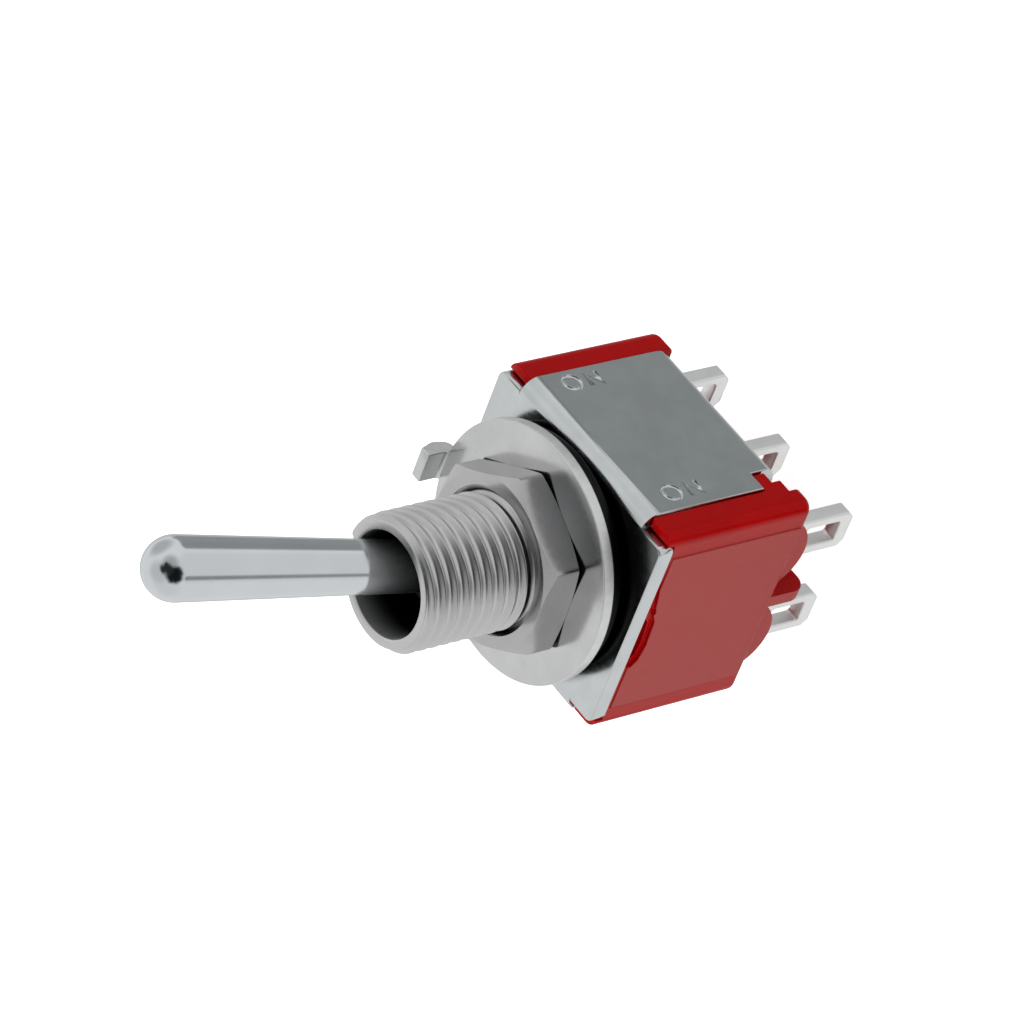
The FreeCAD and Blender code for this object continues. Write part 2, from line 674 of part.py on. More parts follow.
# Plunger spring: a four-sided wire on a helix between the plunger and the end of its bore
def buildSpring(number, side):
    wire = value("dim.springWire / 2")
    coil = value("(dim.springCoil - dim.springWire) / 2")
    low = "-(dim.plungerReach - dim.plungerHeight) + dim.springWire / 2"
    high = "-(dim.carrierTop + dim.carrierHeight) + dim.plungerBoreDepth - dim.springWire / 2"
    height = value(f"{high} - ({low})")
    helix = Part.makeHelix(height / value("dim.springTurns"), height, coil)
    angles = [math.radians(90 * step) for step in range(5)]
    corners = [FreeCAD.Vector(coil + wire * math.cos(a), 0, wire * math.sin(a)) for a in angles]
    section = Part.makePolygon(corners)
    path = Part.Wire(helix.Edges)
    feature = doc.addObject("Part::Feature", f"plunger_spring_{number}")
    feature.Label = f"plunger_spring_{number}"
    feature.Shape = path.makePipeShell([section], True, True)
    feature.Placement = leaned(f"{side} * dim.rowSpacing / 2", low)
    return feature


# Contact rocker: a strip with two rising arms and a rounded pivot that sits in the centre terminal
def buildRocker(number, side):
    spot = FreeCAD.Vector(0, value(f"{side} * dim.rowSpacing / 2"), -value("dim.rockerPivotDepth"))
    swing = FreeCAD.Rotation(FreeCAD.Vector(0, 1, 0), value("dim.rockerSwing"))
    body = newBody(f"contact_rocker_{number}", FreeCAD.Placement(spot, swing))
    cosine = "cos(dim.rockerRise * 1deg)"
    sine = "sin(dim.rockerRise * 1deg)"
    endX = f"dim.rockerArm * {cosine}"
    endZ = f"dim.rockerArm * {sine}"
    thick = "dim.rockerThickness"
    pivot = "dim.rockerPivotRadius"
    strip = newSketch(body, "XZ_Plane")
    outline(strip, [
        (f"-{pivot} * {cosine}", f"{pivot} * {sine}", "0", "0", 1),
        (f"{pivot} * {cosine}", f"{pivot} * {sine}"),
        (endX, endZ),
        (f"{endX} - {thick} * {sine}", f"{endZ} + {thick} * {cosine}"),
        ("0", f"{thick} / {cosine}"),
        (f"-({endX}) + {thick} * {sine}", f"{endZ} + {thick} * {cosine}"),
        (f"-({endX})", endZ),
    ])
    extrude(body, "Pad", strip, "dim.rockerWidth", bothSides=True)
    return body


# Terminal: a flat blade with a solder eye. An end one has a foot inside for its contact, and
# a centre one has a saddle for the rocker.
def buildTerminal(number, column, side):
    spot = FreeCAD.Vector(value(f"{column} * dim.terminalPitch"), value(f"{side} * dim.rowSpacing / 2"), 0)
    facing = FreeCAD.Rotation(FreeCAD.Vector(0, 0, 1), 180 if column < 0 else 0)
    body = newBody(f"terminal_{number}", FreeCAD.Placement(spot, facing))
    half = "dim.bladeWidth / 2"
    tip = "-dim.bladeReach"
    head = "-(dim.rockerPivotDepth + dim.saddleDrop)" if column == 0 else "-(dim.floorDepth - dim.bladeThickness)"
    blade = newSketch(body, "YZ_Plane")
    outline(blade, [
        (f"-({half} - dim.bladeChamfer)", tip),
        (f"{half} - dim.bladeChamfer", tip),
        (half, f"{tip} + dim.bladeChamfer"),
        (half, head),
        (f"-({half})", head),
        (f"-({half})", f"{tip} + dim.bladeChamfer"),
    ])
    eyeMiddle = f"({tip} + dim.eyeMargin + dim.eyeLength / 2)"
    roundedRectangle(blade, "dim.eyeWidth / 2", "dim.eyeLength / 2", "dim.eyeCorner", ("0", eyeMiddle))
    extrude(body, "Pad", blade, "dim.bladeThickness", bothSides=True)
    if column == 0:
        saddle = newSketch(body, "XZ_Plane")
        circle(saddle, ("0", "-dim.rockerPivotDepth"), "dim.rockerPivotRadius + dim.rockerPivotGap")
        extrude(body, "Pocket", saddle, "dim.bladeWidth", bothSides=True)
    else:
        foot = newSketch(body, "XZ_Plane")
        inner = "dim.bladeThickness / 2 - dim.footLength"
        rectangle(foot, inner, "-dim.floorDepth", "dim.bladeThickness / 2", head)
        extrude(body, "Pad", foot, "dim.bladeWidth", bothSides=True)
    return body


# Fixed contact: a domed silver rivet head on an end terminal's foot
def buildContact(number, column, side):
    spot = FreeCAD.Vector(value(f"{column} * dim.contactX"), value(f"{side} * dim.rowSpacing / 2"), 0)
    body = newBody(f"fixed_contact_{number}", FreeCAD.Placement(spot, FreeCAD.Rotation()))
    radius = "dim.contactDiameter / 2"
    low = "-(dim.floorDepth - dim.bladeThickness)"
    closed = "(dim.rockerRise - dim.rockerSwing) * 1deg"
    high = f"-dim.rockerPivotDepth + (dim.contactX - {radius}) * tan({closed}) - dim.contactGap"
    profile = newSketch(body, "XZ_Plane")
    outline(profile, [
        ("0", low),
        (radius, low),
        (radius, f"{high} - 0.12"),
        (f"{radius} - 0.2", high),
        ("0", high),
    ])
    turn(body, "Revolution", profile)
    return body


pieces = [buildFrame(), buildCase(), buildBushing(), buildNut(), buildRing(), buildLockWasher()]
pieces += [buildLever(), buildPivotPin(), buildCarrier()]
for number, side in enumerate((1, -1), 1):
    pieces += [buildPlunger(number, side), buildSpring(number, side), buildRocker(number, side)]
terminalNumber = 0
contactNumber = 0
for side in (1, -1):
    for column in (-1, 0, 1):
        terminalNumber += 1
        pieces.append(buildTerminal(terminalNumber, column, side))
        if column:
            contactNumber += 1
            pieces.append(buildContact(contactNumber, column, side))
doc.recompute()

for item in doc.Objects:
    if "Invalid" in item.State or "Error" in item.State:
        raise ValueError(f"{item.Label} is {item.State}")
for piece in pieces:
    if piece.Shape.isNull() or not piece.Shape.isValid() or len(piece.Shape.Solids) != 1:
        raise ValueError(f"{piece.Label} is not one valid solid")
for piece in pieces:
    piece.Shape.exportStep(f"parts/{piece.Label}.step")
    print(f"{piece.Label:20s} {piece.Shape.Volume:9.3f} mm3")
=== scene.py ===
import bmesh
import bpy
import json
import math
from mathutils import Euler, Matrix, Vector


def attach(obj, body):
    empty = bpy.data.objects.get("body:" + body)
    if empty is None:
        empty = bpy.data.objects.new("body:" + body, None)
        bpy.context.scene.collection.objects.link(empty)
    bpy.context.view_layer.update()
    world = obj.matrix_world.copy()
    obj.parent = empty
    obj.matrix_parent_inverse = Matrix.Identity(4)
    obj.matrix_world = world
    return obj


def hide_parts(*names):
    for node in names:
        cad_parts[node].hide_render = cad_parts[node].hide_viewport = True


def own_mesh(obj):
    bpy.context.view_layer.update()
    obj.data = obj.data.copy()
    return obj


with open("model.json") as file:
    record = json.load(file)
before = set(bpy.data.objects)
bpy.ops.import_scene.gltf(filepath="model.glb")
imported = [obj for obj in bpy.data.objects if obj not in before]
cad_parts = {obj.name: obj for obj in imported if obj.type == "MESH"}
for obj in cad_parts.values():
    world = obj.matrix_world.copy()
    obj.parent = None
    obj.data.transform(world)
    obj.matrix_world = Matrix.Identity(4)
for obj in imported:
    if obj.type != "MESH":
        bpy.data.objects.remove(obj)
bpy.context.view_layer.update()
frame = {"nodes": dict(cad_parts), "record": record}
print("frame loaded")

mm = 0.001
rootBody = "switch"
scene = bpy.context.scene
scene.view_settings.view_transform = "Standard"


# shader helpers
grainBand = (0.3, 0.7)   # where the noise of the grain starts and ends
bumpDepth = 0.01 * mm


def addNode(tree, kind, **settings):
    node = tree.nodes.new(kind)
    for key, setting in settings.items():
        setattr(node, key, setting)
    return node


def feed(tree, node, **inputs):
    # fills sockets by name, or by number as i0, i1: a socket is linked, anything else is set as the value
    for key, source in inputs.items():
        numbered = key[0] == "i" and key[1:].isdigit()
        socket = node.inputs[int(key[1:])] if numbered else node.inputs[key.replace("_", " ")]
        if isinstance(source, bpy.types.NodeSocket):
            tree.links.new(source, socket)
        else:
            socket.default_value = source
    return node


def maths(tree, operation, first, second=0.0):
    node = addNode(tree, "ShaderNodeMath", operation=operation)
    return feed(tree, node, i0=first, i1=second).outputs[0]


def ramp(tree, source, low, high, bottom=0.0, top=1.0):
    node = addNode(tree, "ShaderNodeMapRange", interpolation_type="SMOOTHSTEP")
    feed(tree, node, Value=source, From_Min=low, From_Max=high, To_Min=bottom, To_Max=top)
    return node.outputs["Result"]


def blendColour(tree, mask, first, second):
    node = addNode(tree, "ShaderNodeMix", data_type="RGBA")
    for index, source in ((0, mask), (6, first), (7, second)):
        if isinstance(source, bpy.types.NodeSocket):
            tree.links.new(source, node.inputs[index])
        else:
            node.inputs[index].default_value = source if index == 0 else (*source, 1)
    return node.outputs[2]


def shaded(tone, share):
    return tuple(channel * share for channel in tone)


def objectSpot(tree):
    return addNode(tree, "ShaderNodeTexCoord").outputs["Object"]


def partsOf(tree, source):
    return feed(tree, addNode(tree, "ShaderNodeSeparateXYZ"), Vector=source).outputs


def facingParts(tree):
    return partsOf(tree, addNode(tree, "ShaderNodeTexCoord").outputs["Normal"])


def newGroup(name, inputs, outputs):
    tree = bpy.data.node_groups.new(name, "ShaderNodeTree")
    for label, default in inputs.items():
        kind = "NodeSocketVector" if isinstance(default, tuple) else "NodeSocketFloat"
        socket = tree.interface.new_socket(name=label, in_out="INPUT", socket_type=kind)
        socket.default_value = default
    for label in outputs:
        tree.interface.new_socket(name=label, in_out="OUTPUT", socket_type="NodeSocketFloat")
    return tree, addNode(tree, "NodeGroupInput"), addNode(tree, "NodeGroupOutput")


def useGroup(tree, group, **values):
    node = addNode(tree, "ShaderNodeGroup", node_tree=group)
    return feed(tree, node, **values)


# grain drawn out along one direction, such as rolling or turning lines
grainInputs = {"Stretch": (1.0, 1.0, 1.0), "Scale": 4000.0}
grainGroup, inside, outside = newGroup("metalGrain", grainInputs, ["Height", "Shade"])
spot = objectSpot(grainGroup)
drawn = addNode(grainGroup, "ShaderNodeVectorMath", operation="MULTIPLY")
feed(grainGroup, drawn, i0=spot, i1=inside.outputs["Stretch"])
fine = feed(grainGroup, addNode(grainGroup, "ShaderNodeTexNoise"), Vector=drawn.outputs[0],
            Scale=inside.outputs["Scale"], Detail=5.0, Roughness=0.6)
broadScale = maths(grainGroup, "MULTIPLY", inside.outputs["Scale"], 0.12)   # about eight times as coarse
broad = feed(grainGroup, addNode(grainGroup, "ShaderNodeTexNoise"), Vector=spot, Scale=broadScale, Detail=3.0)
feed(grainGroup, outside, Height=fine.outputs[0], Shade=ramp(grainGroup, broad.outputs[0], *grainBand))

# turning lines that run round the Z axis
turnedGroup, inside, outside = newGroup("turningLines", {"Pitch": 9000.0}, ["Height"])
parts = partsOf(turnedGroup, objectSpot(turnedGroup))
square = maths(turnedGroup, "ADD", maths(turnedGroup, "POWER", parts[0], 2.0),
               maths(turnedGroup, "POWER", parts[1], 2.0))
fromAxis = maths(turnedGroup, "SQRT", square)
ringSpot = feed(turnedGroup, addNode(turnedGroup, "ShaderNodeCombineXYZ"), X=fromAxis, Y=parts[2], Z=0.0)
lines = feed(turnedGroup, addNode(turnedGroup, "ShaderNodeTexNoise"), Vector=ringSpot.outputs[0],
             Scale=inside.outputs["Pitch"], Detail=4.0)
feed(turnedGroup, outside, Height=lines.outputs[0])

# how far a spot lies from the Z axis and from a point on it, and its height over the plate, in mm
reachOutputs = ["Across", "Distance", "Height"]
reachGroup, inside, outside = newGroup("axisReach", {"Centre": (0.0, 0.0, 0.0)}, reachOutputs)
spot = objectSpot(reachGroup)
parts = partsOf(reachGroup, spot)
flat = feed(reachGroup, addNode(reachGroup, "ShaderNodeCombineXYZ"), X=parts[0], Y=parts[1], Z=0.0)
across = feed(reachGroup, addNode(reachGroup, "ShaderNodeVectorMath", operation="LENGTH"), i0=flat.outputs[0])
offset = feed(reachGroup, addNode(reachGroup, "ShaderNodeVectorMath", operation="DISTANCE"), i0=spot,
              i1=inside.outputs["Centre"])
feed(reachGroup, outside, Across=maths(reachGroup, "DIVIDE", across.outputs["Value"], mm),
     Distance=maths(reachGroup, "DIVIDE", offset.outputs["Value"], mm),
     Height=maths(reachGroup, "DIVIDE", parts[2], mm))

# scattered tiny pits and dust
speckGroup, inside, outside = newGroup("specks", {"Scale": 2500.0, "Size": 0.12}, ["Mask"])
cells = feed(speckGroup, addNode(speckGroup, "ShaderNodeTexVoronoi"), Vector=objectSpot(speckGroup),
             Scale=inside.outputs["Scale"])
near = maths(speckGroup, "LESS_THAN", cells.outputs["Distance"], inside.outputs["Size"])
chance = feed(speckGroup, addNode(speckGroup, "ShaderNodeSeparateColor"), Color=cells.outputs["Color"])
few = maths(speckGroup, "GREATER_THAN", chance.outputs[0], 0.72)   # about a quarter of the cells
feed(speckGroup, outside, Mask=maths(speckGroup, "MULTIPLY", near, few))


def newMaterial(name):
    material = bpy.data.materials.new(name)
    material.use_nodes = True
    return material, material.node_tree, material.node_tree.nodes["Principled BSDF"]


def bumpFrom(tree, height, strength):
    bump = addNode(tree, "ShaderNodeBump")
    return feed(tree, bump, Height=height, Strength=strength, Distance=bumpDepth).outputs[0]


# painted shade: the near-black tones painted into gaps, the bore, the lever's neck and faces that look down
paintedShadeTones = {"gap": (0.012, 0.012, 0.013), "bore": (0.006, 0.006, 0.007), "neck": (0.01, 0.01, 0.011),
             "paintedShadeBelow": (0.07, 0.07, 0.072)}
# shares of the tone in pits and torn metal, the widths in mm over which a mask fades, and how far a face
# has to look up or down; fade, up and down shape the masks of the painted shade
wearAndPaintedShade = {"pit": 0.5, "torn": 1.4, "tornScale": 2600.0, "rimIn": 0.03, "rimOut": 0.02, "fade": 0.08,
        "up": (0.9, 0.98), "down": (0.3, 0.6)}


def metal(name, tone, rough, stretch=(1, 1, 1), scale=4000.0, spread=0.03, bump=0.05, shade=0.96, turned=0.0,
          pits=0.2, paintedShadeAt=None, rimAt=None, bore=None, paintedShadeBelow=False, neck=None):
    # paintedShadeAt names a stretch painted nearly black, a painted shade, rimAt the radii of a sheared edge
    # and where a lug's sides start, bore a wall painted darker with its depth, a painted shade, and neck a
    # stretch round a centre painted darker and rougher, a painted shade;
    # under paints the faces that look down nearly black, a painted shade
    material, tree, shader = newMaterial(name)
    grain = useGroup(tree, grainGroup, Stretch=stretch, Scale=scale)
    specks = useGroup(tree, speckGroup)
    colour = blendColour(tree, grain.outputs["Shade"], shaded(tone, shade), tone)
    pitted = maths(tree, "MULTIPLY", specks.outputs["Mask"], pits)
    colour = blendColour(tree, pitted, colour, shaded(tone, wearAndPaintedShade["pit"]))
    roughness = ramp(tree, grain.outputs["Height"], *grainBand, rough - spread, rough + spread)
    height = grain.outputs["Height"]
    if turned:
        turning = useGroup(tree, turnedGroup)
        height = maths(tree, "ADD", height, maths(tree, "MULTIPLY", turning.outputs[0], turned))
    if rimAt:
        across = useGroup(tree, reachGroup).outputs["Across"]
        rim = maths(tree, "MULTIPLY", ramp(tree, across, rimAt["inner"], rimAt["inner"] + wearAndPaintedShade["rimIn"]),
                    ramp(tree, across, rimAt["outer"], rimAt["outer"] + wearAndPaintedShade["rimOut"], 1.0, 0.0))
        place = partsOf(tree, objectSpot(tree))
        aside = maths(tree, "GREATER_THAN", maths(tree, "ABSOLUTE", place[1]), rimAt["lugSide"] * mm)
        beyond = maths(tree, "LESS_THAN", place[0], -rimAt["lugStart"] * mm)
        rim = maths(tree, "MAXIMUM", rim, maths(tree, "MULTIPLY", aside, beyond))
        roughness = maths(tree, "ADD", roughness, maths(tree, "MULTIPLY", rim, rimAt["rough"]))
        torn = useGroup(tree, grainGroup, Stretch=(1, 1, 0.5), Scale=wearAndPaintedShade["tornScale"])
        tears = maths(tree, "MULTIPLY", torn.outputs["Height"], rimAt["tears"])
        height = maths(tree, "ADD", height, maths(tree, "MULTIPLY", rim, tears))
        wearAndShadeTone = blendColour(tree, torn.outputs["Height"], tone, shaded(tone, wearAndPaintedShade["torn"]))
        colour = blendColour(tree, rim, colour, wearAndShadeTone)
    # painted shade: a stretch painted nearly black, in a gap or below a part, where shade falls
    if paintedShadeAt:
        reach = useGroup(tree, reachGroup)
        paintedShadeMask = ramp(tree, reach.outputs[paintedShadeAt["by"]], paintedShadeAt["low"], paintedShadeAt["high"], 1.0, 0.0)
        if "start" in paintedShadeAt:   # only on faces that look up, from one place along X
            paintedShadeMask = maths(tree, "MULTIPLY", paintedShadeMask, ramp(tree, facingParts(tree)[2], *wearAndPaintedShade["up"]))
            place = partsOf(tree, objectSpot(tree))
            along = ramp(tree, place[0], paintedShadeAt["start"] * mm, paintedShadeAt["full"] * mm)
            paintedShadeMask = maths(tree, "MULTIPLY", paintedShadeMask, along)
        colour = blendColour(tree, paintedShadeMask, colour, paintedShadeTones["gap"])
    # painted shade: the bore's wall painted darker with its depth, and rougher
    if bore:
        reach = useGroup(tree, reachGroup)
        wall = ramp(tree, reach.outputs["Across"], bore["radius"], bore["radius"] + wearAndPaintedShade["fade"], 1.0, 0.0)
        shadeByDepth = ramp(tree, reach.outputs["Height"], bore["low"], bore["high"])
        paintedBoreShade = blendColour(tree, shadeByDepth, paintedShadeTones["bore"], shaded(tone, bore["share"]))
        colour = blendColour(tree, wall, colour, paintedBoreShade)
        roughness = maths(tree, "ADD", roughness, maths(tree, "MULTIPLY", wall, bore["rough"]))
    # painted shade: the lever's neck painted darker and rougher where it sinks into the bushing
    if neck:
        reach = useGroup(tree, reachGroup, Centre=tuple(place * mm for place in neck["centre"]))
        within = ramp(tree, reach.outputs["Distance"], neck["top"] - wearAndPaintedShade["fade"], neck["top"] + wearAndPaintedShade["fade"],
                      1.0, 0.0)
        shadeByDepth = ramp(tree, reach.outputs["Distance"], neck["low"], neck["top"])
        wearAndShadeTone = blendColour(tree, shadeByDepth, paintedShadeTones["neck"], shaded(tone, neck["share"]))
        colour = blendColour(tree, within, colour, wearAndShadeTone)
        roughness = maths(tree, "ADD", roughness, maths(tree, "MULTIPLY", within, neck["rough"]))
    # painted shade: faces that look down painted nearly black
    if paintedShadeBelow:
        down = ramp(tree, maths(tree, "MULTIPLY", facingParts(tree)[2], -1.0), *wearAndPaintedShade["down"])
        colour = blendColour(tree, down, colour, paintedShadeTones["paintedShadeBelow"])
    shader.inputs["Metallic"].default_value = 1.0
    feed(tree, shader, Base_Color=colour, Roughness=roughness, Normal=bumpFrom(tree, height, bump))
    return material


# shares of the tone in the mottle and the dust, and how far a face has to look along X to be an end
moulded = {"mottle": 0.9, "spread": 0.04, "scale": 2500.0, "speckScale": 2250.0, "speckSize": 0.1,
           "dust": 0.2, "dustShare": 0.6, "end": (0.55, 0.95)}


def plastic(name, tone, rough, bump=0.1, gloss=0.5, paintedEndSheen=None):
    # matt is a paler pink tone painted on the end faces that look along X, a painted sheen, with a rougher
    # finish on them
    material, tree, shader = newMaterial(name)
    grain = useGroup(tree, grainGroup, Scale=moulded["scale"])
    specks = useGroup(tree, speckGroup, Scale=moulded["speckScale"], Size=moulded["speckSize"])
    colour = blendColour(tree, grain.outputs["Shade"], shaded(tone, moulded["mottle"]), tone)
    spread = moulded["spread"]
    roughness = ramp(tree, grain.outputs["Height"], *grainBand, rough - spread, rough + spread)
    if paintedEndSheen:
        place = partsOf(tree, objectSpot(tree))
        endOn = ramp(tree, maths(tree, "ABSOLUTE", facingParts(tree)[0]), *moulded["end"])
        outermost = ramp(tree, maths(tree, "ABSOLUTE", place[0]), paintedEndSheen["from"] * mm, paintedEndSheen["full"] * mm)
        behind = maths(tree, "LESS_THAN", place[2], paintedEndSheen["behind"] * mm)
        mask = maths(tree, "MULTIPLY", endOn, maths(tree, "MAXIMUM", outermost, behind))
        colour = blendColour(tree, mask, colour, paintedEndSheen["tone"])
        roughness = maths(tree, "ADD", roughness, maths(tree, "MULTIPLY", mask, paintedEndSheen["rough"]))
    dusted = maths(tree, "MULTIPLY", specks.outputs["Mask"], moulded["dust"])
    colour = blendColour(tree, dusted, colour, shaded(tone, moulded["dustShare"]))
    shader.inputs["Specular IOR Level"].default_value = gloss
    feed(tree, shader, Base_Color=colour, Roughness=roughness,
         Normal=bumpFrom(tree, grain.outputs["Height"], bump))
    return material


# one finish per material slot of the record
finishes = {
    # painted sheen: the case's end faces get a paler pink tone
    "case_plastic": plastic("redMouldedCase", (0.50, 0.001, 0.0015), 0.22, bump=0.05, gloss=0.08,
                            paintedEndSheen={"tone": (0.455, 0.081, 0.075), "rough": 0.2, "from": 6.11, "full": 6.25,
                                  "behind": -8.6}),
    # painted shadow: the plate is painted nearly black round the ring, on faces that look up
    "frame_steel": metal("rolledFrameSteel", (0.62, 0.645, 0.65), 0.2, stretch=(0.25, 1, 1), scale=5000.0,
                         bump=0.03, shade=0.92, pits=0.1,
                         paintedShadeAt={"by": "Across", "low": 5.55, "high": 6.25, "start": -4.5, "full": -1.0}),
    # painted shade: the bore's wall is painted darker with its depth
    "bushing_plating": metal("turnedBushing", (0.60, 0.595, 0.59), 0.33, turned=0.8, bump=0.05,
                             bore={"radius": 2.47, "low": 7.2, "high": 9.0, "share": 1.5, "rough": 0.25}),
    # painted shade: the nut is painted nearly black round the thread and on faces that look down
    "nut_plating": metal("nickelNut", (0.50, 0.49, 0.495), 0.2, scale=3500.0, shade=0.93, bump=0.015,
                         paintedShadeBelow=True, paintedShadeAt={"by": "Across", "low": 3.2, "high": 3.36}),
    # painted shade: the ring's underside is painted nearly black; the torn rim is wear
    "ring_steel": metal("satinRing", (0.62, 0.62, 0.62), 0.2, scale=3600.0, bump=0.03, shade=0.9, spread=0.02,
                        rimAt={"inner": 5.96, "outer": 6.015, "lugSide": 0.77, "lugStart": 6.02,
                               "rough": 0.25, "tears": 6.0},
                        paintedShadeAt={"by": "Height", "low": 1.02, "high": 1.08}),
    # painted shade: the washer is painted nearly black, a dark sheet in the shaded gap below the ring
    "washer_steel": metal("paintedShadeWasher", (0.013, 0.013, 0.014), 0.3),
    # painted shade: the lever's neck is painted darker where it sinks into the bushing
    "lever_chrome": metal("polishedLever", (0.66, 0.68, 0.695), 0.12, spread=0.015, bump=0.008, shade=0.97,
                          pits=0.1, neck={"centre": (0, 0, 4.6), "top": 5.2, "low": -2.5, "share": 0.66,
                                          "rough": 0.3}),
    "pin_steel": metal("groundPin", (0.6, 0.6, 0.61), 0.22, stretch=(1, 0.2, 1)),
    "carrier_nylon": plastic("naturalNylon", (0.72, 0.69, 0.6), 0.45),
    "plunger_plastic": plastic("blackAcetal", (0.03, 0.03, 0.033), 0.35),
    "spring_wire": metal("drawnWire", (0.55, 0.55, 0.56), 0.25),
    "rocker_copper": metal("copperStrip", (0.72, 0.42, 0.26), 0.28, stretch=(0.2, 1, 1)),
    "terminal_plating": metal("silveredTerminal", (0.88, 0.88, 0.87), 0.48, stretch=(1, 1, 0.3), scale=3800.0,
                              pits=0.08),
    "contact_silver": metal("silverContact", (0.86, 0.85, 0.82), 0.2, turned=0.5),
}
slotOf = {part["node"]: part["material_slot"] for part in frame["record"]["subparts"]}
for label, carried in frame["nodes"].items():
    for place in carried.material_slots:
        place.material = finishes[slotOf[label]]
print("materials made")


# mesh helpers
# how near points are merged and a fold is found, in mm, and the angles of flat, sharp and smoothed edges
dress = {"merge": 0.0005, "near": 0.003, "flat": 0.6, "sharp": 34, "smooth": 50}


def smoothUnder(mesh, angle):
    mesh.polygons.foreach_set("use_smooth", [True] * len(mesh.polygons))
    mesh.set_sharp_from_angle(angle=math.radians(angle))


def newPiece(name, mesh, body, nodes, angle=32):
    piece = bpy.data.objects.new(name, mesh)
    scene.collection.objects.link(piece)
    smoothUnder(mesh, angle)
    slot = slotOf[nodes[0]]
    mesh.materials.clear()
    mesh.materials.append(finishes[slot])
    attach(piece, body)
    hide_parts(*nodes)
    return piece


def meshFrom(name, vertices, faces, place=Matrix()):
    mesh = bpy.data.meshes.new(name)
    mesh.from_pydata([place @ (Vector(vertex) * mm) for vertex in vertices], [], faces)
    mesh.validate()
    mesh.update()
    return mesh


def skinLoops(loops):
    # joins closed loops of equal length, side by side, all the way round
    count = len(loops)
    length = len(loops[0])
    vertices = [vertex for loop in loops for vertex in loop]
    faces = []
    for a in range(count):
        b = (a + 1) % count
        for k in range(length):
            n = (k + 1) % length
            faces.append((a * length + k, b * length + k, b * length + n, a * length + n))
    return vertices, faces


def roundOff(points, radii, steps=4):
    # a closed profile with its corners replaced by arcs, which take up less than half of a side
    out = []
    count = len(points)
    for index, (point, radius) in enumerate(zip(points, radii)):
        corner = Vector(point)
        before = Vector(points[index - 1]) - corner
        after = Vector(points[(index + 1) % count]) - corner
        if radius <= 0:
            out.append(tuple(corner))
            continue
        half = before.angle(after) / 2
        trim = min(radius / math.tan(half), 0.49 * before.length, 0.49 * after.length)
        first = corner + before.normalized() * trim
        last = corner + after.normalized() * trim
        for step in range(steps + 1):
            t = step / steps
            out.append(tuple((1 - t) ** 2 * first + 2 * t * (1 - t) * corner + t ** 2 * last))
    return out


def latheLoops(profile, columns):
    loops = []
    for step in range(columns):
        a = 2 * math.pi * step / columns
        loops.append([(r * math.cos(a), r * math.sin(a), z) for r, z in profile])
    return loops


def boxOutline(profile, thickness, place):
    # extrudes a closed 2D outline to both sides of its plane; place turns (u, v, side) into x, y, z
    half = thickness / 2
    count = len(profile)
    vertices = [place(u, v, side) for side in (-half, half) for u, v in profile]
    faces = [tuple(range(count - 1, -1, -1)), tuple(range(count, 2 * count))]
    for k in range(count):
        n = (k + 1) % count
        faces.append((k, n, count + n, count + k))
    return vertices, faces


def joinMeshes(name, shapes):
    joined = bmesh.new()
    for vertices, faces in shapes:
        made = [joined.verts.new(Vector(vertex) * mm) for vertex in vertices]
        for face in faces:
            joined.faces.new([made[index] for index in face])
    bmesh.ops.recalc_face_normals(joined, faces=joined.faces)
    mesh = bpy.data.meshes.new(name)
    joined.to_mesh(mesh)
    joined.free()
    return mesh


def weighEdges(mesh, angle, skip):
    # sharp edges take the bevel, except the tiny ones inside the box of skip
    marked = bmesh.new()
    marked.from_mesh(mesh)
    layer = marked.edges.layers.float.new("bevel_weight_edge")
    for edge in marked.edges:
        ends = [[abs(place) / mm for place in corner.co] for corner in edge.verts]
        inSkip = all(low <= end[axis] <= high for end in ends for axis, (low, high) in enumerate(skip))
        sharp = edge.is_manifold and edge.calc_face_angle() > math.radians(angle)
        edge[layer] = 1.0 if sharp and not inSkip else 0.0
    marked.to_mesh(mesh)
    marked.free()


def addBevel(piece, width, segments, angle=dress["sharp"], weighted=False):
    bevel = piece.modifiers.new("edgeRounding", "BEVEL")
    bevel.width = width * mm
    bevel.segments = segments
    bevel.limit_method = "WEIGHT" if weighted else "ANGLE"
    bevel.angle_limit = math.radians(angle)
    bevel.use_clamp_overlap = False
    bevel.harden_normals = True


def applyModifiers(piece):
    bpy.context.view_layer.update()
    depsgraph = bpy.context.evaluated_depsgraph_get()
    mesh = bpy.data.meshes.new_from_object(piece.evaluated_get(depsgraph))
    piece.modifiers.clear()
    piece.data = mesh


def steadyNormals(piece, angle=32):
    # large faces keep their own direction, and only the small rounding faces bend the light
    smoothUnder(piece.data, angle)
    weighted = piece.modifiers.new("steadyNormals", "WEIGHTED_NORMAL")
    weighted.mode = "FACE_AREA"
    weighted.weight = 100
    weighted.keep_sharp = True
    applyModifiers(piece)


def cutBy(piece, cutterMesh):
    cutter = bpy.data.objects.new("cutter", cutterMesh)
    scene.collection.objects.link(cutter)
    cut = piece.modifiers.new("cut", "BOOLEAN")
    cut.operation = "DIFFERENCE"
    cut.solver = "EXACT"
    cut.object = cutter
    applyModifiers(piece)
    bpy.data.objects.remove(cutter)


